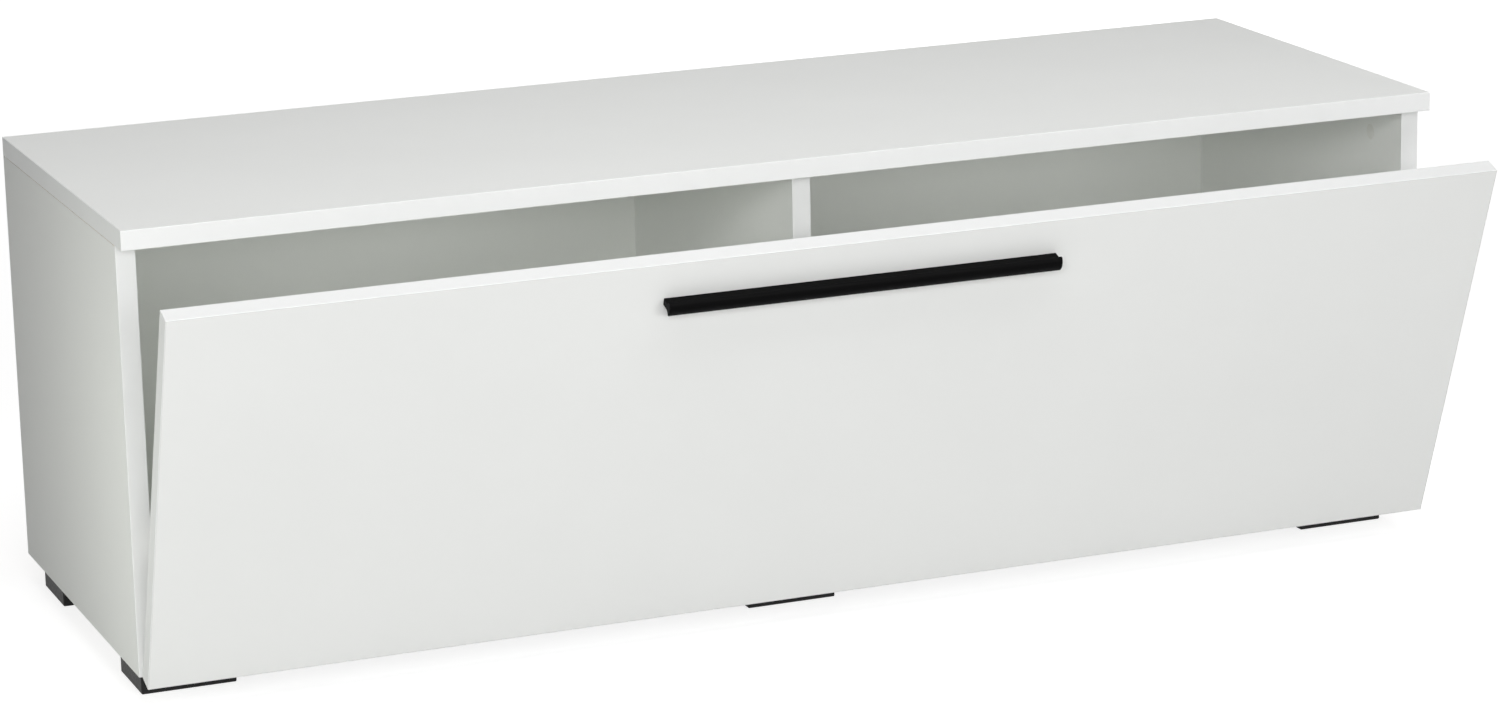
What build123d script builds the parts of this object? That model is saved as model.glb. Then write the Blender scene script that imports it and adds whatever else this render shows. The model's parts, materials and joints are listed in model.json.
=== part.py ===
from build123d import *
from math import atan2, cos, degrees, hypot, radians, sin, tan
import os

# A low cabinet on block feet, with one wide flap that drops down from its top edge.
# Millimetres and degrees. +Z is up, +Y is to the back, +X is to the right seen from the front.
# The origin lies on the floor, under the middle of the middle front foot.
# The flap is drawn ajar.

# Boards
width = 1280.0
depth = 440.0
height = 440.0
board = 18.0
band = 1.0
band_round = 0.6
top_overhang = 22.5
back_board = 3.0
back_margin = 3.0

# Feet
foot_height = 31.0
foot_width = 88.0
foot_depth = 74.0
foot_inset = 12.0
foot_setback = 43.0
foot_round = 1.5
foot_screw_spacing = 50.0
foot_bore_radius = 4.6
foot_bore_depth = 19.0
foot_screw_radius = 2.0
foot_screw_head = 4.0
foot_screw_head_height = 2.6
foot_screw_grip = 15.0

# Flap
flap_reveal = 2.2
flap_top_gap = 2.4
flap_bottom_rise = 1.0
flap_gap = 2.2
rest_angle = 20.0
open_angle = 85.0
bumper_radius = 5.0
bumper_height = 2.0
bumper_round = 0.8
bumper_drop = 12.0

# Handle
handle_length = 378.0
handle_drop = 38.5
handle_reach = 16.0
handle_web = 6.6
handle_web_reach = 7.5
handle_head = 13.6
handle_head_back = 12.0
handle_head_edge = 13.4
handle_chamfer = 0.3
handle_screw_spacing = 320.0
handle_screw_radius = 2.0
handle_screw_head = 3.8
handle_screw_head_height = 2.4
handle_screw_grip = 6.0

# Hinges
hinge_inset = 150.0
hinge_length = 60.0
hinge_leaf = 0.9
hinge_leaf_reach = 18.6
hinge_corner = 2.0
knuckle_count = 5
knuckle_radius = 2.75
knuckle_gap = 0.3
knuckle_clearance = 0.35
pin_radius = 1.55
pin_head_radius = 2.3
pin_head = 0.8
leaf_screw_spacing = 20.0
leaf_screw_line = 10.9
leaf_screw_length = 13.0

# Flap stays
stay_pivot_up = 130.0
stay_standoff = 10.0
stay_stud_angle = 32.5
stay_bar = 2.0
stay_bar_width = 14.0
stay_bar_end = 3.0
stay_plate = 2.0
stay_plate_width = 12.0
stay_play = 0.5
stud_radius = 3.0
stud_play = 0.3
stud_cap_radius = 6.5
stud_cap = 2.4
stud_seat = 1.0
rivet_radius = 2.5
rivet_head_radius = 4.5
rivet_head = 1.2
rivet_play = 0.3
bracket_ear = 2.0
bracket_ear_width = 16.0
bracket_base = 1.5
bracket_base_width = 18.0
bracket_base_length = 30.0
stay_screw_spacing = 24.0
bracket_screw_spacing = 18.0
stay_screw_length = 12.0

# Small countersunk screws of the hinges and stays
screw_radius = 1.5
screw_head = 2.6
screw_point = 2.0
screw_slot = 0.7
screw_slot_depth = 0.8
sink_angle = 82.0

# Domed heads of the handle's and the feet's screws: the share of a head's height that is rounded
pan_dome = 0.7
pan_slot = 0.9
pan_slot_depth = 1.2

# Carcass fittings
cam_radius = 7.4
cam_depth = 13.4
cam_cover = 1.2
cam_reach = 34.0
cam_end_margin = 60.0
cam_foot_gap = 36.0
bolt_radius = 2.2
bolt_thread_radius = 2.5
bolt_thread_length = 11.0
bolt_collar_radius = 3.4
bolt_collar = 3.0
bolt_head_radius = 3.0
bolt_head_half = 2.0
bolt_passage_radius = 4.0
bolt_play = 0.3
dowel_radius = 4.0
dowel_in_face = 12.0
dowel_in_edge = 18.0
dowel_from_cam = 32.0
dowel_chamfer = 0.8

# Nails of the back
nail_radius = 0.7
nail_head_radius = 2.2
nail_head = 0.8
nail_length = 16.0
nails_along = 7
nails_up = 2
nail_corner = 60.0

# Clearances
fit = 0.05
hole_spare = 0.5

os.makedirs("parts", exist_ok=True)

# Places worked out from the driving dimensions
half_width = width / 2
side_inner = half_width - board
side_middle = half_width - board / 2
carcass_front = -(foot_setback + foot_depth / 2)
top_front = carcass_front - top_overhang
rear = top_front + depth
top_under = height - board
bottom_top = foot_height + board
bottom_middle = foot_height + board / 2
panel_front = carcass_front + band

hinge_y = carcass_front - flap_gap / 2
hinge_z = foot_height - knuckle_radius - knuckle_clearance
flap_low = foot_height + flap_bottom_rise - hinge_z
flap_height = top_under - flap_top_gap - foot_height - flap_bottom_rise
flap_width = width - 2 * flap_reveal
flap_high = flap_low + flap_height
flap_middle = (flap_low + flap_high) / 2

# Planes of the flap, which leans out from upright by the rest angle about the hinge pins.
# Their x runs along the cabinet and their y runs up the flap.
tilt = radians(rest_angle)
hinge_axis = Vector(0, hinge_y, hinge_z)
flap_out = Vector(0, -cos(tilt), -sin(tilt))
flap_up = Vector(0, -sin(tilt), cos(tilt))
flap_plane = Plane(origin=hinge_axis, x_dir=(1, 0, 0), z_dir=flap_out)
flap_back = flap_plane.offset(flap_gap / 2)
flap_front = flap_back.offset(board)

# The same planes turned round, so that z points out of the flap's back
flap_leaf_plane = Plane(origin=hinge_axis, x_dir=(-1, 0, 0), z_dir=-flap_out)
flap_inside = Plane(origin=flap_back.origin, x_dir=(-1, 0, 0), z_dir=-flap_out)
handle_seat = Plane(origin=flap_front.origin, x_dir=(-1, 0, 0), z_dir=-flap_out)
fixed_leaf_plane = Plane(origin=hinge_axis, x_dir=(1, 0, 0), z_dir=(0, -1, 0))

sides = (("left", -1), ("right", 1))
hinges = (
    ("left", -(half_width - hinge_inset)),
    ("middle", 0.0),
    ("right", half_width - hinge_inset),
)


def save(piece, name):
    piece.label = name
    export_step(piece, f"parts/{name}.step")


def at(plane, x, y, z=0.0):
    """A place on a plane, given in the plane's own x, y and z."""
    return plane.location * Location((x, y, z))


def corner_pair(spacing):
    return (-spacing / 2, spacing / 2)


# Screws, drawn along Z with the shank pointing down
sink_slope = tan(radians(sink_angle / 2))


def countersunk_screw(length):
    head_depth = (screw_head - screw_radius) / sink_slope
    with BuildPart() as screw:
        with BuildSketch(Plane.XZ):
            with BuildLine():
                Polyline(
                    (0, 0),
                    (screw_head, 0),
                    (screw_radius, -head_depth),
                    (screw_radius, screw_point - length),
                    (0, -length),
                    close=True,
                )
            make_face()
        revolve(axis=Axis.Z)
        with BuildSketch(Plane.XY):
            Rectangle(2 * screw_radius, screw_slot)
            Rectangle(screw_slot, 2 * screw_radius)
        extrude(amount=-screw_slot_depth, mode=Mode.SUBTRACT)
    return screw.part


def flat_head_fastener(length, radius, head_radius, head_height):
    """A round flat head standing on the plane Z = 0, with its shank below."""
    with BuildPart() as fastener:
        with BuildSketch(Plane.XY):
            Circle(radius)
        extrude(amount=-length)
        with BuildSketch(Plane.XY):
            Circle(head_radius)
        extrude(amount=head_height)
    return fastener.part


def pan_head_screw(length, radius, head_radius, head_height):
    """A screw with a domed head on the plane Z = 0 and a cross recess, and its shank below."""
    with BuildPart() as screw:
        with BuildSketch(Plane.XY):
            Circle(radius)
        extrude(amount=-length)
        with BuildSketch(Plane.XY):
            Circle(head_radius)
        extrude(amount=head_height)
        top_rim = screw.edges().filter_by(GeomType.CIRCLE).sort_by(Axis.Z)[-1]
        fillet(top_rim, head_height * pan_dome)
        with BuildSketch(Plane.XY.offset(head_height)):
            Rectangle(2 * radius, pan_slot)
            Rectangle(pan_slot, 2 * radius)
        extrude(amount=-pan_slot_depth, mode=Mode.SUBTRACT)
    return screw.part


def fastener_group(fastener, places, name):
    with BuildPart() as group:
        with Locations(*places):
            add(fastener)
    save(group.part, name)


def screw_hole(plate=0.0):
    """The hole a countersunk screw needs in what lies under a plate of that thickness."""
    mouth = max(screw_head - plate * sink_slope, screw_radius) + fit
    bore = screw_radius + fit
    hole_depth = max(leaf_screw_length, stay_screw_length) + hole_spare
    if mouth > bore:
        CounterSinkHole(bore, mouth, hole_depth, sink_angle)
    else:
        Hole(bore, hole_depth)


# Carcass joints. In each, the end of one panel stands on the face of another. A cam in the end panel
# draws in a bolt that is screwed into the face panel, and dowels line the two up.
cam_rows = (carcass_front + cam_end_margin, rear - cam_end_margin)
dowel_rows = (cam_rows[0] + dowel_from_cam, cam_rows[1] - dowel_from_cam)
foot_back_row = rear - foot_inset - foot_depth / 2
low_cam_rows = (foot_depth / 2 + cam_foot_gap, foot_back_row - foot_depth / 2 - cam_foot_gap)
low_dowel_rows = (low_cam_rows[0] + dowel_from_cam, low_cam_rows[1] - dowel_from_cam)


class CarcassJoint:
    """The cams lie in the end panel's face, whose normal is given, and toward points to the face panel."""

    def __init__(self, end_panel, face_panel, meet, normal, toward, cam_ys, dowel_ys):
        self.end_panel = end_panel
        self.face_panel = face_panel
        normal = Vector(*normal)
        toward = Vector(*toward)
        along = toward.cross(normal)
        self.cams = []
        self.bolt_mouths = []
        self.dowels = []
        for y in cam_ys:
            middle = Vector(meet[0], y, meet[1])
            cam_middle = middle - toward * cam_reach + normal * (board / 2)
            self.cams.append(Plane(origin=cam_middle, x_dir=along, z_dir=normal))
            self.bolt_mouths.append(Plane(origin=middle, x_dir=along, z_dir=toward))
        for y in dowel_ys:
            middle = Vector(meet[0], y, meet[1])
            self.dowels.append(Plane(origin=middle, x_dir=along, z_dir=toward))


joints = [
    CarcassJoint("divider", "top", (0, top_under), (1, 0, 0), (0, 0, 1), cam_rows, dowel_rows),
    CarcassJoint("divider", "bottom", (0, bottom_top), (1, 0, 0), (0, 0, -1), cam_rows, dowel_rows),
]
for side, hand in sides:
    side_top = (hand * side_middle, top_under)
    joints.append(CarcassJoint(side, "top", side_top, (-hand, 0, 0), (0, 0, 1), cam_rows, dowel_rows))
    bottom_end = (hand * side_inner, bottom_middle)
    joints.append(
        CarcassJoint("bottom", side, bottom_end, (0, 0, -1), (hand, 0, 0), low_cam_rows, low_dowel_rows)
    )


def turned(plane):
    """The same place, with z pointing the other way."""
    return Plane(origin=plane.origin, x_dir=plane.x_dir, z_dir=-plane.z_dir)


def drill_joints(panel):
    """The cam, bolt and dowel holes of one panel."""
    for joint in joints:
        if panel == joint.end_panel:
            with Locations(*joint.cams):
                Hole(cam_radius + fit, cam_depth + fit)
            with Locations(*joint.bolt_mouths):
                Hole(bolt_passage_radius, cam_reach)
            with Locations(*joint.dowels):
                Hole(dowel_radius + fit, dowel_in_edge + hole_spare)
        if panel == joint.face_panel:
            with Locations(*[turned(mouth) for mouth in joint.bolt_mouths]):
                Hole(bolt_thread_radius + fit, bolt_thread_length + hole_spare)
            with Locations(*[turned(dowel) for dowel in joint.dowels]):
                Hole(dowel_radius + fit, dowel_in_face + hole_spare)


# Nails, through the back into the rear edges of the boards
nail_span = width - 2 * nail_corner
nail_row_xs = [nail_span * (step / (nails_along - 1) - 0.5) for step in range(nails_along)]
nail_column_zs = [
    foot_height + (height - foot_height) * (step + 1) / (nails_up + 1) for step in range(nails_up)
]
back_face = Plane(origin=(0, rear + back_board, 0), x_dir=(-1, 0, 0), z_dir=(0, 1, 0))
nails = {
    "top": [at(back_face, x, height - board / 2) for x in nail_row_xs],
    "bottom": [at(back_face, x, bottom_middle) for x in nail_row_xs],
    "left": [at(back_face, side_middle, z) for z in nail_column_zs],
    "right": [at(back_face, -side_middle, z) for z in nail_column_zs],
    "divider": [at(back_face, 0, z) for z in nail_column_zs],
}


def drill_nails(panel):
    with Locations(*nails[panel]):
        Hole(nail_radius + fit, nail_length + hole_spare)


# Feet and their screws
foot_column = half_width - foot_inset - foot_width / 2
foot_columns = (("left", -foot_column), ("middle", 0.0), ("right", foot_column))
foot_rows = (("front", 0.0), ("back", foot_back_row))
foot_places = {
    f"foot_{row}_{column}": (x, y) for row, y in foot_rows for column, x in foot_columns
}


def foot_screws(x, y, level):
    """Places of one foot's screws at a level, with z pointing down."""
    return [
        Plane(origin=(x + shift, y, level), x_dir=(1, 0, 0), z_dir=(0, 0, -1))
        for shift in corner_pair(foot_screw_spacing)
    ]


for name, (x, y) in foot_places.items():
    with BuildPart() as foot:
        with BuildSketch(Plane.XY):
            with Locations((x, y)):
                RectangleRounded(foot_width, foot_depth, foot_round)
        extrude(amount=foot_height)
        chamfer(foot.faces().sort_by(Axis.Z)[0].edges(), foot_round / 2)
        with Locations(*foot_screws(x, y, 0)):
            CounterBoreHole(foot_screw_radius + fit, foot_bore_radius, foot_bore_depth, foot_height)
    save(foot.part, name)

foot_screw_seats = [
    seat for x, y in foot_places.values() for seat in foot_screws(x, y, foot_bore_depth)
]
foot_screw_length = foot_height - foot_bore_depth + foot_screw_grip
fastener_group(
    pan_head_screw(foot_screw_length, foot_screw_radius, foot_screw_head, foot_screw_head_height),
    foot_screw_seats,
    "foot_screws",
)

# Hinge screws: three in a row on each leaf
leaf_screw_xs = (-leaf_screw_spacing, 0.0, leaf_screw_spacing)


def leaf_screws(plane, level):
    """Places of all the hinge screws on one side, at a level along the plane's z."""
    return [
        at(plane, x + shift, leaf_screw_line, level) for name, x in hinges for shift in leaf_screw_xs
    ]


leaf_seat = -flap_gap / 2
leaf_face = leaf_seat + hinge_leaf

# Bottom panel, between the sides
with BuildPart() as bottom_panel:
    with BuildSketch(Plane.XY.offset(foot_height)):
        with Locations((0, (panel_front + rear) / 2)):
            Rectangle(2 * side_inner, rear - panel_front)
    extrude(amount=board)
    drill_joints("bottom")
    drill_nails("bottom")
    with Locations(*leaf_screws(fixed_leaf_plane, leaf_seat)):
        screw_hole(hinge_leaf)
    for x, y in foot_places.values():
        with Locations(*foot_screws(x, y, foot_height)):
            Hole(foot_screw_radius + fit, foot_screw_grip + hole_spare)
save(bottom_panel.part, "bottom_panel")

with BuildPart() as bottom_edge_band:
    with BuildSketch(Plane.XY.offset(foot_height)):
        with Locations((0, (carcass_front + panel_front) / 2)):
            Rectangle(2 * side_inner, band)
    extrude(amount=board)
    fillet(bottom_edge_band.edges().filter_by(Axis.X).group_by(Axis.Y)[0], band_round)
    with Locations(*leaf_screws(fixed_leaf_plane, leaf_seat)):
        screw_hole(hinge_leaf)
save(bottom_edge_band.part, "bottom_edge_band")

# Flap stays. Each bar turns on a rivet in a bracket on the flap, and its slot slides on a stud that is
# fixed to the side. The rivet and the stud are equally far from the hinge axis, so the bar turns half
# as fast as the flap and its slot is straight.
stay_pivot_out = flap_gap / 2 - stay_standoff
stay_radius = hypot(stay_pivot_up, stay_pivot_out)
pivot_lean = degrees(atan2(-stay_pivot_out, stay_pivot_up))
stay_spread = stay_stud_angle - pivot_lean
stay_pivot = hinge_axis + flap_up * stay_pivot_up + flap_out * stay_pivot_out
stay_stud = hinge_axis + Vector(
    0, stay_radius * sin(radians(stay_stud_angle)), stay_radius * cos(radians(stay_stud_angle))
)


def stay_reach(opening):
    """Distance from rivet to stud with the flap opened by that angle from shut."""
    return 2 * stay_radius * sin(radians(stay_spread + opening) / 2)


# Layers of a stay, counted from the side's inner face towards the middle of the cabinet
bar_start = stay_plate + stay_play
bar_end = bar_start + stay_bar
ear_start = bar_end + rivet_play
ear_end = ear_start + bracket_ear
cap_start = bar_end + stay_play
stud_end = cap_start + stud_seat


def stud_plane(hand, level):
    """Plane on a stud's axis, with z pointing to the middle of the cabinet and y up."""
    origin = (hand * (side_inner - level), stay_stud.Y, stay_stud.Z)
    return Plane(origin=origin, x_dir=(0, hand, 0), z_dir=(-hand, 0, 0))


def stud_screws(hand, level):
    return [at(stud_plane(hand, level), 0, shift) for shift in corner_pair(stay_screw_spacing)]


def bracket_screws(hand, level):
    x = -hand * (side_inner - ear_start - bracket_base_width / 2 - bracket_ear / 2)
    return [at(flap_inside, x, stay_pivot_up + shift, level) for shift in corner_pair(bracket_screw_spacing)]


# Side panels and the bands on their front edges
for side, hand in sides:
    with BuildPart() as side_panel:
        with BuildSketch(Plane.XY.offset(foot_height)):
            with Locations((hand * side_middle, (panel_front + rear) / 2)):
                Rectangle(board, rear - panel_front)
        extrude(amount=top_under - foot_height)
        drill_joints(side)
        drill_nails(side)
        with Locations(*stud_screws(hand, 0)):
            screw_hole(stay_plate)
    save(side_panel.part, f"{side}_side_panel")

    with BuildPart() as side_edge_band:
        with BuildSketch(Plane.XY.offset(foot_height)):
            with Locations((hand * side_middle, (carcass_front + panel_front) / 2)):
                Rectangle(board, band)
        extrude(amount=top_under - foot_height)
        fillet(side_edge_band.edges().filter_by(Axis.Z).group_by(Axis.Y)[0], band_round)
    save(side_edge_band.part, f"{side}_side_edge_band")

# Divider in the middle
with BuildPart() as divider_panel:
    with BuildSketch(Plane.XY.offset(bottom_top)):
        with Locations((0, (panel_front + rear) / 2)):
            Rectangle(board, rear - panel_front)
    extrude(amount=top_under - bottom_top)
    drill_joints("divider")
    drill_nails("divider")
save(divider_panel.part, "divider_panel")

with BuildPart() as divider_edge_band:
    with BuildSketch(Plane.XY.offset(bottom_top)):
        with Locations((0, (carcass_front + panel_front) / 2)):
            Rectangle(board, band)
    extrude(amount=top_under - bottom_top)
    fillet(divider_edge_band.edges().filter_by(Axis.Z).group_by(Axis.Y)[0], band_round)
save(divider_edge_band.part, "divider_edge_band")

# Top panel, with bands on its front and its two ends
top_panel_front = top_front + band
with BuildPart() as top_panel:
    with BuildSketch(Plane.XY.offset(top_under)):
        with Locations((0, (top_panel_front + rear) / 2)):
            Rectangle(width - 2 * band, rear - top_panel_front)
    extrude(amount=board)
    drill_joints("top")
    drill_nails("top")
save(top_panel.part, "top_panel")

with BuildPart() as top_front_band:
    with BuildSketch(Plane.XY.offset(top_under)):
        with Locations((0, (top_front + top_panel_front) / 2)):
            Rectangle(width, band)
    extrude(amount=board)
    fillet(top_front_band.faces().sort_by(Axis.Y)[0].edges(), band_round)
save(top_front_band.part, "top_front_edge_band")

for side, hand in sides:
    with BuildPart() as top_end_band:
        with BuildSketch(Plane.XY.offset(top_under)):
            with Locations((hand * (half_width - band / 2), (top_panel_front + rear) / 2)):
                Rectangle(band, rear - top_panel_front)
        extrude(amount=board)
        outer_face = top_end_band.faces().sort_by(Axis.X)[0 if hand < 0 else -1]
        fillet(outer_face.edges().filter_by(Axis.Y), band_round)
    save(top_end_band.part, f"top_{side}_edge_band")

# Back, nailed over the rear edges
with BuildPart() as back_panel:
    with BuildSketch(Plane.XZ.offset(-rear - back_board)):
        with Locations((0, (foot_height + height) / 2)):
            Rectangle(width - 2 * back_margin, height - foot_height - 2 * back_margin)
    extrude(amount=back_board)
    for panel in nails:
        drill_nails(panel)
save(back_panel.part, "back_panel")

fastener_group(
    flat_head_fastener(nail_length, nail_radius, nail_head_radius, nail_head),
    [place for places in nails.values() for place in places],
    "back_nails",
)

# Flap and the bands round its four edges
flap_core_width = flap_width - 2 * band
flap_core_height = flap_height - 2 * band
handle_line = flap_high - handle_drop
handle_screw_places = [
    at(flap_inside, shift, handle_line) for shift in corner_pair(handle_screw_spacing)
]
with BuildPart() as flap_door:
    with BuildSketch(flap_back):
        with Locations((0, flap_middle)):
            Rectangle(flap_core_width, flap_core_height)
    extrude(amount=board)
    with Locations(*handle_screw_places):
        Hole(handle_screw_radius + fit)
    with Locations(*leaf_screws(flap_leaf_plane, leaf_seat)):
        screw_hole(hinge_leaf)
    for side, hand in sides:
        with Locations(*bracket_screws(hand, 0)):
            screw_hole(bracket_base)
save(flap_door.part, "flap_door")

for name, middle in (("bottom", flap_low + band / 2), ("top", flap_high - band / 2)):
    with BuildPart() as flap_long_band:
        with BuildSketch(flap_back):
            with Locations((0, middle)):
                Rectangle(flap_width, band)
        extrude(amount=board)
        outer_face = flap_long_band.faces().sort_by(Axis(hinge_axis, flap_up))[0 if name == "bottom" else -1]
        fillet(outer_face.edges(), band_round)
    save(flap_long_band.part, f"flap_{name}_edge_band")

for side, hand in sides:
    with BuildPart() as flap_end_band:
        with BuildSketch(flap_back):
            with Locations((hand * (flap_width - band) / 2, flap_middle)):
                Rectangle(band, flap_core_height)
        extrude(amount=board)
        outer_face = flap_end_band.faces().sort_by(Axis.X)[0 if hand < 0 else -1]
        fillet(outer_face.edges().filter_by(Axis(hinge_axis, flap_up)), band_round)
    save(flap_end_band.part, f"flap_{side}_edge_band")

# Bumpers on the flap's back, one for each upright's front edge
with BuildPart() as bumpers:
    with BuildSketch(flap_inside):
        with Locations(*[(x, flap_high - bumper_drop) for x in (-side_middle, 0, side_middle)]):
            Circle(bumper_radius)
    extrude(amount=bumper_height)
    rims = bumpers.edges().filter_by(GeomType.CIRCLE).group_by(Axis(hinge_axis, flap_out))[0]
    fillet(rims, bumper_round)
save(bumpers.part, "flap_bumpers")

# Handle: a bar of one section, a web on the flap that flares out into a rounded head
handle_section = Plane(
    origin=flap_front.origin + flap_up * handle_line, x_dir=flap_out, z_dir=(-1, 0, 0)
)
with BuildPart() as handle:
    with BuildSketch(handle_section):
        with BuildLine():
            web_top = Line((0, handle_web / 2), (handle_web_reach, handle_web / 2))
            flare_top = TangentArc(web_top @ 1, (handle_head_back, handle_head / 2), tangent=web_top % 1)
            lip_top = Line(flare_top @ 1, (handle_head_edge, handle_head / 2))
            nose = ThreePointArc(lip_top @ 1, (handle_reach, 0), (handle_head_edge, -handle_head / 2))
            lip_low = Line(nose @ 1, (handle_head_back, -handle_head / 2))
            web_low = Line((0, -handle_web / 2), (handle_web_reach, -handle_web / 2))
            TangentArc(web_low @ 1, lip_low @ 1, tangent=web_low % 1)
            Line(web_low @ 0, web_top @ 0)
        make_face()
    extrude(amount=handle_length / 2, both=True)
    ends = handle.faces().sort_by(Axis.X)
    chamfer(ends[0].edges() + ends[-1].edges(), handle_chamfer)
    with Locations(*[at(handle_seat, shift, handle_line) for shift in corner_pair(handle_screw_spacing)]):
        Hole(handle_screw_radius + fit, handle_screw_grip + hole_spare)
save(handle.part, "handle_bar")

fastener_group(
    pan_head_screw(
        board + handle_screw_grip, handle_screw_radius, handle_screw_head, handle_screw_head_height
    ),
    handle_screw_places,
    "handle_screws",
)

# Hinges: two leaves whose knuckles take turns along the pin
knuckle_pitch = hinge_length / knuckle_count
knuckle_length = knuckle_pitch - knuckle_gap
knuckle_xs = [knuckle_pitch * (step + 0.5) - hinge_length / 2 for step in range(knuckle_count)]
leaf_low = knuckle_radius + knuckle_clearance
tongue_low = (pin_radius + fit + knuckle_radius) / 2


def hinge_leaf_part(plane, own_knuckles):
    """One leaf. Its plane lies on the pin, with y up the board that it is screwed to and z away from it."""
    with BuildPart() as leaf:
        with BuildSketch(plane.offset(leaf_seat)):
            with Locations((0, (leaf_low + hinge_leaf_reach) / 2)):
                Rectangle(hinge_length, hinge_leaf_reach - leaf_low)
            with Locations(*[(x, (tongue_low + leaf_low) / 2) for x in own_knuckles]):
                Rectangle(knuckle_length, leaf_low - tongue_low)
        extrude(amount=hinge_leaf)
        far_end = leaf.faces().sort_by(Axis(plane.origin, plane.y_dir))[-1]
        fillet(far_end.edges().filter_by(Axis(plane.origin, plane.z_dir)), hinge_corner)
        with Locations(*[plane.location * Location((x, 0, 0), (0, 90, 0)) for x in own_knuckles]):
            Cylinder(knuckle_radius, knuckle_length)
        with Locations(plane.location * Location((0, 0, 0), (0, 90, 0))):
            Cylinder(pin_radius + fit, hinge_length, mode=Mode.SUBTRACT)
        with Locations(*[at(plane, shift, leaf_screw_line, leaf_face) for shift in leaf_screw_xs]):
            screw_hole()
    return leaf.part


for name, x in hinges:
    fixed_plane = Plane(at(fixed_leaf_plane, x, 0))
    door_plane = Plane(at(flap_leaf_plane, -x, 0))
    save(hinge_leaf_part(fixed_plane, knuckle_xs[0::2]), f"hinge_{name}_fixed_leaf")
    save(hinge_leaf_part(door_plane, knuckle_xs[1::2]), f"hinge_{name}_door_leaf")

    with BuildPart() as pin:
        pin_end = hinge_length / 2
        with Locations(fixed_plane.location * Location((0, 0, 0), (0, 90, 0))):
            Cylinder(pin_radius, hinge_length)
        for shift in (-pin_end - pin_head / 2, pin_end + pin_head / 2):
            with Locations(fixed_plane.location * Location((shift, 0, 0), (0, 90, 0))):
                Cylinder(pin_head_radius, pin_head)
    save(pin.part, f"hinge_{name}_pin")

leaf_screw = countersunk_screw(leaf_screw_length)
fastener_group(leaf_screw, leaf_screws(fixed_leaf_plane, leaf_face), "hinge_fixed_screws")
fastener_group(leaf_screw, leaf_screws(flap_leaf_plane, leaf_face), "hinge_door_screws")

# Stay pieces at both sides
bar_along = (stay_stud - stay_pivot).normalized()
slot_start = stay_reach(0)
slot_end = stay_reach(open_angle)
bar_length = slot_end + stay_bar_end


def side_cylinder(hand, point, start, end, radius, mode=Mode.ADD):
    """A round piece along X, between two distances from the side's inner face."""
    middle = hand * (side_inner - (start + end) / 2)
    with Locations(Location((middle, point.Y, point.Z), (0, 90, 0))):
        Cylinder(radius, end - start, mode=mode)


for side, hand in sides:
    with BuildPart() as stay_bar_part:
        bar_level = hand * (side_inner - bar_start)
        bar_origin = (bar_level, stay_pivot.Y, stay_pivot.Z)
        with BuildSketch(Plane(origin=bar_origin, x_dir=bar_along, z_dir=(-hand, 0, 0))):
            with Locations((bar_length / 2, 0)):
                SlotCenterToCenter(bar_length, stay_bar_width)
            with Locations(((slot_start + slot_end) / 2, 0)):
                slot_width = 2 * (stud_radius + stud_play)
                SlotCenterToCenter(slot_end - slot_start, slot_width, mode=Mode.SUBTRACT)
            Circle(rivet_radius + fit, mode=Mode.SUBTRACT)
        extrude(amount=stay_bar)
    save(stay_bar_part.part, f"stay_{side}_bar")

    with BuildPart() as stud_plate:
        with BuildSketch(stud_plane(hand, 0)):
            SlotCenterToCenter(stay_screw_spacing, stay_plate_width, rotation=90)
        extrude(amount=stay_plate)
        side_cylinder(hand, stay_stud, stay_plate, stud_end, stud_radius)
        with Locations(*stud_screws(hand, stay_plate)):
            screw_hole()
    save(stud_plate.part, f"stay_{side}_stud_plate")

    with BuildPart() as stud_cap_part:
        side_cylinder(hand, stay_stud, cap_start, cap_start + stud_cap, stud_cap_radius)
        rim = stud_cap_part.edges().filter_by(GeomType.CIRCLE).sort_by(Axis.X)[-1 if hand < 0 else 0]
        fillet(rim, (stud_cap - stud_seat) / 2)
        side_cylinder(hand, stay_stud, cap_start, stud_end + fit, stud_radius + fit, Mode.SUBTRACT)
    save(stud_cap_part.part, f"stay_{side}_stud_cap")

    with BuildPart() as bracket:
        ear_level = hand * (side_inner - ear_start)
        ear_origin = (ear_level, hinge_axis.Y, hinge_axis.Z)
        ear_middle = (stay_pivot_out + flap_gap / 2) / 2
        with BuildSketch(Plane(origin=ear_origin, x_dir=flap_out, z_dir=(-1, 0, 0))):
            with Locations((ear_middle, stay_pivot_up)):
                Rectangle(stay_standoff, bracket_ear_width)
            with Locations((stay_pivot_out, stay_pivot_up)):
                Circle(bracket_ear_width / 2)
        extrude(amount=hand * bracket_ear)
        base_middle = hand * (side_inner - ear_start - bracket_base_width / 2)
        with BuildSketch(flap_back):
            with Locations((base_middle, stay_pivot_up)):
                Rectangle(bracket_base_width, bracket_base_length)
        extrude(amount=-bracket_base)
        side_cylinder(hand, stay_pivot, ear_start, ear_end, rivet_radius + fit, Mode.SUBTRACT)
        with Locations(*bracket_screws(hand, bracket_base)):
            screw_hole()
    save(bracket.part, f"stay_{side}_bracket")

    with BuildPart() as rivet:
        rivet_start = bar_start - rivet_play
        side_cylinder(hand, stay_pivot, rivet_start - rivet_head, rivet_start, rivet_head_radius)
        side_cylinder(hand, stay_pivot, rivet_start, ear_end, rivet_radius)
        side_cylinder(hand, stay_pivot, ear_end, ear_end + rivet_head, rivet_head_radius)
    save(rivet.part, f"stay_{side}_rivet")

stay_screw = countersunk_screw(stay_screw_length)
fastener_group(
    stay_screw,
    [place for side, hand in sides for place in stud_screws(hand, stay_plate)],
    "stay_stud_screws",
)
fastener_group(
    stay_screw,
    [place for side, hand in sides for place in bracket_screws(hand, bracket_base)],
    "stay_bracket_screws",
)

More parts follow.
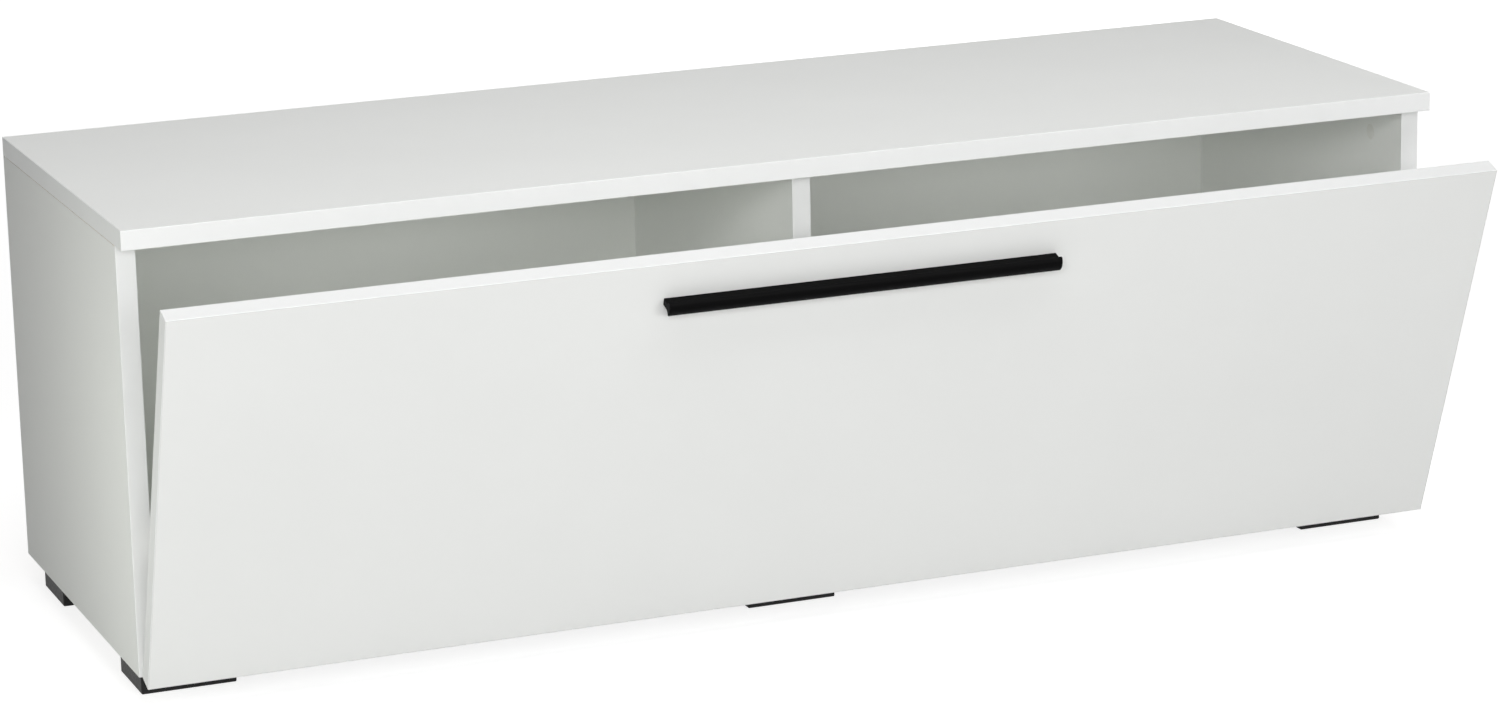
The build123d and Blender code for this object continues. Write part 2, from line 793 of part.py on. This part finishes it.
# Carcass fittings. A cam is drawn with its face on Z = 0 and its bolt coming in along +Y at mid-board.
cam_places = [cam for joint in joints for cam in joint.cams]
with BuildPart() as cam_lock:
    with BuildSketch(Plane.XY.offset(-cam_depth)):
        Circle(cam_radius)
    extrude(amount=cam_depth - cam_cover)
    bolt_room = cam_radius + bolt_head_half + bolt_play
    with Locations(Location((0, bolt_room / 2 - bolt_head_half - bolt_play, -board / 2), (90, 0, 0))):
        Cylinder(bolt_head_radius + bolt_play, bolt_room, mode=Mode.SUBTRACT)
fastener_group(cam_lock.part, cam_places, "cam_locks")

with BuildPart() as cam_cover_part:
    with BuildSketch(Plane.XY.offset(-cam_cover)):
        Circle(cam_radius)
    extrude(amount=cam_cover)
fastener_group(cam_cover_part.part, cam_places, "cam_covers")

with BuildPart() as cam_bolt:
    with BuildSketch(Plane.XY.offset(-board / 2)):
        with BuildLine():
            Polyline(
                (0, -bolt_head_half),
                (bolt_head_radius, -bolt_head_half),
                (bolt_head_radius, bolt_head_half),
                (bolt_radius, bolt_head_half),
                (bolt_radius, cam_reach - bolt_collar),
                (bolt_collar_radius, cam_reach - bolt_collar),
                (bolt_collar_radius, cam_reach),
                (bolt_thread_radius, cam_reach),
                (bolt_thread_radius, cam_reach + bolt_thread_length),
                (0, cam_reach + bolt_thread_length),
                close=True,
            )
        make_face()
    revolve(axis=Axis((0, 0, -board / 2), (0, 1, 0)))
fastener_group(cam_bolt.part, cam_places, "cam_bolts")

with BuildPart() as dowel:
    with BuildSketch(Plane.XY.offset(-dowel_in_edge)):
        Circle(dowel_radius)
    extrude(amount=dowel_in_edge + dowel_in_face)
    chamfer(dowel.edges().filter_by(GeomType.CIRCLE), dowel_chamfer)
fastener_group(dowel.part, [place for joint in joints for place in joint.dowels], "wood_dowels")
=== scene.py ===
import json
from math import cos, radians, sin

import bpy
from mathutils import Matrix, Vector

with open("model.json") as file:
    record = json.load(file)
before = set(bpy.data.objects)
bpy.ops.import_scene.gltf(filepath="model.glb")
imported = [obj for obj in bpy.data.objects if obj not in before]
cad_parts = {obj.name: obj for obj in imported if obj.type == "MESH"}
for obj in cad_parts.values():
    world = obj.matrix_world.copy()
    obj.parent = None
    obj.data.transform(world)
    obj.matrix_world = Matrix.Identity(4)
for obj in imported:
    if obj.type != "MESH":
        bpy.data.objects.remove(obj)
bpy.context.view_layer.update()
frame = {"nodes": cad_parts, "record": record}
nodes = frame["nodes"]
scene = bpy.context.scene
scene.view_settings.view_transform = "Standard"
scene.cycles.diffuse_bounces = 12
scene.cycles.max_bounces = 16

# Sizes of the part, in metres
mm = 0.001
half_width = 640 * mm
height = 440 * mm
foot_height = 31 * mm
board = 18 * mm
band = 1 * mm
carcass_front = 80 * mm
top_front = 102.5 * mm
back_inner = 337.5 * mm
flap_half_width = 637.8 * mm

# The flap as it stands at rest, leaning out from the hinge axis
rest_angle = radians(20)
flap_out = Vector((0, -cos(rest_angle), -sin(rest_angle)))
flap_up = Vector((0, -sin(rest_angle), cos(rest_angle)))
hinge_axis = Vector((0, -81.1 * mm, 27.9 * mm))
flap_back_out = 1.1 * mm
flap_bottom_rise = 4.1 * mm
flap_top_rise = 391.7 * mm

# Finishes: how thick the faces' film and the glue line look, and how rough bare board is
film = 0.06 * mm
glue_line = 0.1 * mm
chip_roughness = 0.85
fibre_roughness = 0.72

# Colours, linear
white = (0.890, 0.898, 0.882)
white_low = (0.878, 0.886, 0.870)
edge_white = (0.822, 0.828, 0.824)
edge_white_low = (0.808, 0.814, 0.810)
glue = (0.60, 0.59, 0.55)
lacquer = (0.840, 0.852, 0.828)
lacquer_low = (0.824, 0.836, 0.812)
chip_light = (0.60, 0.46, 0.30)
chip_mid = (0.40, 0.27, 0.155)
chip_dark = (0.19, 0.115, 0.06)
fibre_light = (0.37, 0.235, 0.135)
fibre_dark = (0.225, 0.132, 0.07)
charcoal = (0.0150, 0.0151, 0.0154)
charcoal_high = (0.0215, 0.0216, 0.0220)
scuff = (0.050, 0.049, 0.047)
anodised = (0.0018, 0.0018, 0.0019)
anodised_high = (0.0028, 0.0028, 0.0029)
nickel = (0.66, 0.645, 0.615)
nickel_low = (0.56, 0.545, 0.52)
zinc = (0.68, 0.685, 0.675)
zinc_low = (0.57, 0.565, 0.52)
cast = (0.50, 0.50, 0.495)
cast_low = (0.37, 0.37, 0.365)
cap_white = (0.84, 0.84, 0.815)
cap_white_low = (0.80, 0.80, 0.77)
beech_light = (0.66, 0.47, 0.29)
beech_dark = (0.50, 0.33, 0.19)
gel = (0.80, 0.80, 0.77)
gel_low = (0.70, 0.70, 0.66)
paper = (0.45, 0.45, 0.45)
pure_white = (1.0, 1.0, 1.0)


class Finish:
    """A material of nodes round one Principled shader. Textures lie in the part's own coordinates."""

    def __init__(self, name, **fixed):
        self.material = bpy.data.materials.new(name)
        self.material.use_nodes = True
        self.tree = self.material.node_tree
        self.shader = self.tree.nodes["Principled BSDF"]
        for socket, value in fixed.items():
            self.shader.inputs[socket.replace("_", " ")].default_value = value
        self.place = self.node("ShaderNodeTexCoord").outputs["Object"]

    def feed(self, socket, value):
        if isinstance(value, bpy.types.NodeSocket):
            self.tree.links.new(value, socket)
        elif isinstance(value, (int, float)):
            socket.default_value = value
        else:
            size = len(socket.default_value)
            socket.default_value = (*value, 1.0)[:size]

    def node(self, kind, inputs=None, **settings):
        made = self.tree.nodes.new(kind)
        for key, value in settings.items():
            setattr(made, key, value)
        for key, value in (inputs or {}).items():
            self.feed(made.inputs[key], value)
        return made

    def stretched(self, stretch):
        mapping = self.node("ShaderNodeMapping", {"Vector": self.place, "Scale": stretch})
        return mapping.outputs[0]

    def noise(self, scale, detail=2.0, stretch=None):
        place = self.stretched(stretch) if stretch else self.place
        made = self.node("ShaderNodeTexNoise", {"Vector": place, "Scale": scale, "Detail": detail})
        return made.outputs[0]

    def cells(self, scale, stretch):
        """A random grey for each cell."""
        place = self.stretched(stretch)
        made = self.node("ShaderNodeTexVoronoi", {"Vector": place, "Scale": scale})
        return self.node("ShaderNodeSeparateColor", {0: made.outputs["Color"]}).outputs[0]

    def calc(self, operation, first, second=0.0):
        made = self.node("ShaderNodeMath", {0: first, 1: second}, operation=operation)
        return made.outputs[0]

    def spread(self, value, low, high, start=0.3, end=0.7):
        """Takes start..end to low..high."""
        inputs = {"Value": value, "From Min": start, "From Max": end, "To Min": low, "To Max": high}
        return self.node("ShaderNodeMapRange", inputs).outputs[0]

    def mix(self, factor, first, second):
        made = self.node("ShaderNodeMix", data_type="RGBA")
        self.feed(made.inputs[0], factor)
        self.feed(made.inputs[6], first)
        self.feed(made.inputs[7], second)
        return made.outputs[2]

    def across(self, direction, middle):
        """Signed distance along a direction from a point on it."""
        made = self.node("ShaderNodeVectorMath", {0: self.place, 1: direction}, operation="DOT_PRODUCT")
        return self.calc("SUBTRACT", made.outputs["Value"], middle)

    def colour(self, value):
        self.feed(self.shader.inputs["Base Color"], value)

    def roughness(self, value):
        self.feed(self.shader.inputs["Roughness"], value)

    def bump(self, height, distance):
        under = self.shader.inputs["Normal"]
        inputs = {"Height": height, "Distance": distance}
        if under.links:
            inputs["Normal"] = under.links[0].from_socket
        self.feed(under, self.node("ShaderNodeBump", inputs).outputs[0])


def mottled(finish, first, second, scale, detail=2.0, stretch=None):
    """Two colours in soft patches."""
    patches = finish.spread(finish.noise(scale, detail, stretch), low=0.0, high=1.0)
    return finish.mix(patches, first, second)


def chipboard(finish):
    """Pressed chips, as at a cut edge or in a drilled hole."""
    chips = finish.mix(finish.cells(scale=620, stretch=(1, 1, 1.6)), chip_mid, chip_light)
    gaps = finish.spread(finish.noise(scale=900, detail=3.0), low=1.0, high=0.0, start=0.34, end=0.46)
    return finish.mix(gaps, chips, chip_dark)


def melamine_board(name, direction, middle):
    """White melamine on both faces of a board, and bare chipboard wherever its core shows."""
    finish = Finish(name, Specular_IOR_Level=0.25)
    face = mottled(finish, white_low, white, scale=7.0)
    distance = finish.calc("ABSOLUTE", finish.across(direction, middle))
    core = finish.calc("LESS_THAN", distance, board / 2 - film)
    finish.colour(finish.mix(core, face, chipboard(finish)))
    face_rough = finish.spread(finish.noise(scale=260, detail=3.0), low=0.54, high=0.66)
    core_rough = finish.calc("MULTIPLY", core, chip_roughness)
    finish.roughness(finish.calc("MAXIMUM", face_rough, core_rough))
    finish.bump(finish.noise(scale=1300), distance=0.016 * mm)
    finish.bump(finish.noise(scale=120), distance=0.03 * mm)
    return finish.material


def edge_band(name, outward, inner):
    """White plastic tape with a fine grain, and a thin line of glue where it meets the board."""
    finish = Finish(name, Specular_IOR_Level=0.3)
    tape = mottled(finish, edge_white_low, edge_white, scale=30.0)
    line = finish.calc("LESS_THAN", finish.across(outward, inner), glue_line)
    finish.colour(finish.mix(line, tape, glue))
    finish.roughness(finish.spread(finish.noise(scale=300), low=0.40, high=0.52))
    finish.bump(finish.noise(scale=900), distance=0.012 * mm)
    return finish.material


def hardboard(name, inner_y):
    """White lacquer on the inside, bare pressed fibre on the outside and the edges."""
    finish = Finish(name)
    fibre = mottled(finish, fibre_dark, fibre_light, scale=160.0, detail=5.0)
    specks = finish.spread(finish.noise(scale=1100, detail=3.0), low=0.0, high=0.55, start=0.55, end=0.75)
    fibre = finish.mix(specks, fibre, fibre_dark)
    inside = mottled(finish, lacquer_low, lacquer, scale=6.0)
    bare = finish.calc("GREATER_THAN", finish.across((0, 1, 0), inner_y), film)
    finish.colour(finish.mix(bare, inside, fibre))
    lacquer_rough = finish.spread(finish.noise(scale=180, detail=3.0), low=0.42, high=0.52)
    bare_rough = finish.calc("MULTIPLY", bare, fibre_roughness)
    finish.roughness(finish.calc("MAXIMUM", lacquer_rough, bare_rough))
    finish.bump(finish.noise(scale=700, detail=4.0), distance=0.03 * mm)
    return finish.material


def moulded_black(name):
    """Charcoal plastic with a fine moulded grain, scuffed pale along the bottom."""
    finish = Finish(name, Specular_IOR_Level=0.15)
    body = mottled(finish, charcoal, charcoal_high, scale=45.0, detail=3.0)
    rise = finish.across((0, 0, 1), 0.0)
    low = finish.spread(rise, low=1.0, high=0.0, start=0.2 * mm, end=2.6 * mm)
    patches = finish.spread(finish.noise(scale=140, detail=4.0), low=0.0, high=0.8, start=0.46, end=0.66)
    finish.colour(finish.mix(finish.calc("MULTIPLY", low, patches), body, scuff))
    finish.roughness(finish.spread(finish.noise(scale=420, detail=3.0), low=0.46, high=0.60))
    finish.bump(finish.noise(scale=1500, detail=3.0), distance=0.05 * mm)
    return finish.material


def anodised_bar(name):
    """Black anodised aluminium, drawn along its length."""
    finish = Finish(name, Specular_IOR_Level=0.03)
    drawn = (0.02, 1.0, 1.0)
    finish.colour(mottled(finish, anodised, anodised_high, scale=900.0, stretch=drawn))
    finish.roughness(finish.spread(finish.noise(scale=1200, stretch=drawn), low=0.33, high=0.48))
    finish.bump(finish.noise(scale=1600, stretch=drawn), distance=0.012 * mm)
    return finish.material


def plated(name, high, low, scale, rough, grain, stretch=None):
    """Plated or cast metal, with a finish that varies in tone and gloss."""
    finish = Finish(name, Metallic=1.0)
    gloss_scale = 6 * scale
    finish.colour(mottled(finish, low, high, scale, detail=3.0))
    finish.roughness(finish.spread(finish.noise(gloss_scale, detail=3.0, stretch=stretch), *rough))
    finish.bump(finish.noise(scale=1500, stretch=stretch), distance=grain)
    return finish.material


def plain_plastic(name, high, low):
    """Moulded plastic with a soft gloss."""
    finish = Finish(name)
    finish.colour(mottled(finish, low, high, scale=90.0, detail=3.0))
    finish.roughness(finish.spread(finish.noise(scale=500), low=0.34, high=0.46))
    finish.bump(finish.noise(scale=1100), distance=0.012 * mm)
    return finish.material


def beech(name):
    """Pale wood with short dark flecks."""
    finish = Finish(name)
    finish.colour(mottled(finish, beech_dark, beech_light, scale=260.0, detail=4.0, stretch=(1, 1, 0.15)))
    finish.roughness(finish.spread(finish.noise(scale=600, detail=3.0), low=0.55, high=0.75))
    finish.bump(finish.noise(scale=900, detail=3.0, stretch=(1, 1, 0.2)), distance=0.05 * mm)
    return finish.material


def soft_gel(name):
    """Clear soft plastic, slightly clouded."""
    finish = Finish(name, Transmission_Weight=0.55, IOR=1.45)
    finish.colour(mottled(finish, gel_low, gel, scale=300.0))
    finish.roughness(finish.spread(finish.noise(scale=700), low=0.22, high=0.36))
    finish.bump(finish.noise(scale=900), distance=0.02 * mm)
    return finish.material


def dress(name, material):
    """Gives a CAD node its material."""
    slots = nodes[name].material_slots
    if not slots:
        nodes[name].data.materials.append(material)
    for slot in slots:
        slot.material = material


# Boards: the direction across each one, and how far along it the middle of the board lies
side_middle = half_width - board / 2
flap_middle = hinge_axis.dot(flap_out) + flap_back_out + board / 2
boards = {
    "top_panel": ((0, 0, 1), height - board / 2),
    "bottom_panel": ((0, 0, 1), foot_height + board / 2),
    "left_side_panel": ((1, 0, 0), -side_middle),
    "right_side_panel": ((1, 0, 0), side_middle),
    "divider_panel": ((1, 0, 0), 0.0),
    "flap_door": (flap_out, flap_middle),
}
for name, (direction, middle) in boards.items():
    dress(name, melamine_board("melamine_" + name, direction, middle))

# Edge bands: the direction each one faces, and how far along it the band's outer face lies
flap_bottom = hinge_axis.dot(flap_up) + flap_bottom_rise
flap_top = hinge_axis.dot(flap_up) + flap_top_rise
forward = (0, -1, 0)
leftward = (-1, 0, 0)
rightward = (1, 0, 0)
bands = {
    "bottom_edge_band": (forward, carcass_front),
    "left_side_edge_band": (forward, carcass_front),
    "right_side_edge_band": (forward, carcass_front),
    "divider_edge_band": (forward, carcass_front),
    "top_front_edge_band": (forward, top_front),
    "top_left_edge_band": (leftward, half_width),
    "top_right_edge_band": (rightward, half_width),
    "flap_left_edge_band": (leftward, flap_half_width),
    "flap_right_edge_band": (rightward, flap_half_width),
    "flap_top_edge_band": (flap_up, flap_top),
    "flap_bottom_edge_band": (-flap_up, -flap_bottom),
}
for name, (outward, face) in bands.items():
    dress(name, edge_band("tape_" + name, outward, face - band))

dress("back_panel", hardboard("hardboard_back", back_inner))

# The rest share one material for each of the record's slots
brushed = (0.08, 1, 1)
shared = {
    "black_plastic": moulded_black("charcoal_plastic"),
    "black_aluminium": anodised_bar("black_anodised"),
    "nickel_steel": plated("nickel_plate", nickel, nickel_low, scale=60.0, rough=(0.25, 0.34),
                           grain=0.002 * mm, stretch=brushed),
    "zinc_screw": plated("zinc_plate", zinc, zinc_low, scale=240.0, rough=(0.26, 0.42), grain=0.010 * mm),
    "zinc_cast": plated("zinc_casting", cast, cast_low, scale=300.0, rough=(0.42, 0.58), grain=0.04 * mm),
    "white_plastic": plain_plastic("cover_plastic", cap_white, cap_white_low),
    "beech": beech("beech_dowel"),
    "clear_rubber": soft_gel("clear_gel"),
}
for piece in frame["record"]["subparts"]:
    if piece["material_slot"] in shared:
        dress(piece["node"], shared[piece["material_slot"]])


def seen_by_eye(tree):
    """1 for rays from the camera, and for those that it gets by mirror or through glass."""
    path = tree.nodes.new("ShaderNodeLightPath")
    total = path.outputs["Is Camera Ray"]
    for name in ("Is Glossy Ray", "Is Transmission Ray"):
        made = tree.nodes.new("ShaderNodeMath")
        made.operation = "MAXIMUM"
        tree.links.new(total, made.inputs[0])
        tree.links.new(path.outputs[name], made.inputs[1])
        total = made.outputs[0]
    return total


def mixed(tree, factor, first, second):
    """The first shader where the factor is 0, and the second where it is 1."""
    made = tree.nodes.new("ShaderNodeMixShader")
    tree.links.new(factor, made.inputs[0])
    tree.links.new(first.outputs[0], made.inputs[1])
    tree.links.new(second.outputs[0], made.inputs[2])
    return made


def shader(tree, kind, colour):
    made = tree.nodes.new(kind)
    made.inputs["Color"].default_value = (*colour, 1.0)
    return made


# Floor: white to the eye, with the object's shadow on it
floor_half = 30.0
floor_drop = 0.2 * mm
floor_mesh = bpy.data.meshes.new("floor")
signs = ((-1, -1), (1, -1), (1, 1), (-1, 1))
corners = [(x * floor_half, y * floor_half, -floor_drop) for x, y in signs]
floor_mesh.from_pydata(corners, [], [(0, 1, 2, 3)])
floor = bpy.data.objects.new("floor", floor_mesh)
scene.collection.objects.link(floor)
floor_paint = bpy.data.materials.new("floor_paint")
floor_paint.use_nodes = True
floor_mesh.materials.append(floor_paint)
tree = floor_paint.node_tree
tree.nodes.remove(tree.nodes["Principled BSDF"])

# The floor's own white comes up with the distance from the object, from the near edge to the far edge
near_edge = 1.2
far_edge = 5.0
glow_near = 0.80
glow_far = 1.0
away = tree.nodes.new("ShaderNodeVectorMath")
away.operation = "LENGTH"
tree.links.new(tree.nodes.new("ShaderNodeTexCoord").outputs["Object"], away.inputs[0])
fade = tree.nodes.new("ShaderNodeMapRange")
fade.inputs["From Min"].default_value = near_edge
fade.inputs["From Max"].default_value = far_edge
fade.inputs["To Min"].default_value = glow_near
fade.inputs["To Max"].default_value = glow_far
tree.links.new(away.outputs["Value"], fade.inputs["Value"])
shine = shader(tree, "ShaderNodeEmission", pure_white)
tree.links.new(fade.outputs[0], shine.inputs["Strength"])
lit = shader(tree, "ShaderNodeBsdfDiffuse", paper)
seen = tree.nodes.new("ShaderNodeAddShader")
tree.links.new(lit.outputs[0], seen.inputs[0])
tree.links.new(shine.outputs[0], seen.inputs[1])
surface = mixed(tree, seen_by_eye(tree), lit, seen)
tree.links.new(surface.outputs[0], tree.nodes["Material Output"].inputs["Surface"])

# World: a weak even light, and white to the eye
ambient = (0.03, 0.031, 0.03)
world = bpy.data.worlds.new("studio")
world.use_nodes = True
scene.world = world
tree = world.node_tree
glow = tree.nodes["Background"]
glow.inputs["Color"].default_value = (*ambient, 1.0)
backdrop = shader(tree, "ShaderNodeBackground", pure_white)
surface = mixed(tree, seen_by_eye(tree), glow, backdrop)
tree.links.new(surface.outputs[0], tree.nodes["World Output"].inputs["Surface"])

# Lamps: two soft ones in front, one overhead, and weak ones at the left, the right and behind
neutral = (1.0, 1.0, 1.0)
greenish = (0.97, 1.0, 0.92)


def lamp(name, place, target, size, watts, colour=neutral):
    data = bpy.data.lights.new(name, "AREA")
    data.shape = "RECTANGLE"
    data.size, data.size_y = size
    data.color = colour
    data.energy = watts
    made = bpy.data.objects.new(name, data)
    made.location = place
    made.rotation_euler = (Vector(target) - Vector(place)).to_track_quat("-Z", "Y").to_euler()
    made.visible_camera = False
    scene.collection.objects.link(made)


centre = (0.0, 0.0, 0.3)
lamp("key", place=(-1.55, -3.5, 1.57), target=centre, size=(2.2, 1.2), watts=76.0)
lamp("fill", place=(1.2, -4.2, 0.95), target=centre, size=(2.0, 1.2), watts=48.5)
lamp("overhead", place=(0.0, -0.85, 2.7), target=(0.0, 0.05, 0.3), size=(3.0, 2.0), watts=49.0)
lamp("beside", place=(-1.05, -0.18, 0.25), target=(-0.64, -0.04, 0.25), size=(0.14, 0.48), watts=0.82,
     colour=greenish)
lamp("right", place=(1.05, -0.10, 0.25), target=(0.64, 0.02, 0.25), size=(0.25, 0.48), watts=0.55)
lamp("behind", place=(1.7, 3.0, 0.42), target=(0.1, 0.3, 0.25), size=(2.6, 0.5), watts=25.0)

# Camera, where the photograph's stood, with no shift
image_width = 1500
focal_pixels = 4708.9
sensor = 36.0
eye = Vector((-1.5849, -3.9582, 1.3372))
yaw = radians(21.543)
pitch = radians(14.588)
roll = radians(-1.286)
ahead = Vector((sin(yaw) * cos(pitch), cos(yaw) * cos(pitch), -sin(pitch)))
level_right = Vector((cos(yaw), -sin(yaw), 0))
level_up = level_right.cross(ahead)
right = level_right * cos(roll) + level_up * sin(roll)
upward = level_up * cos(roll) - level_right * sin(roll)
camera_data = bpy.data.cameras.new("camera")
camera_data.sensor_fit = "HORIZONTAL"
camera_data.sensor_width = sensor
camera_data.lens = focal_pixels * sensor / image_width
camera = bpy.data.objects.new("camera", camera_data)
turn = Matrix((right, upward, -ahead)).transposed()
camera.matrix_world = Matrix.Translation(eye) @ turn.to_4x4()
scene.collection.objects.link(camera)
scene.camera = camera
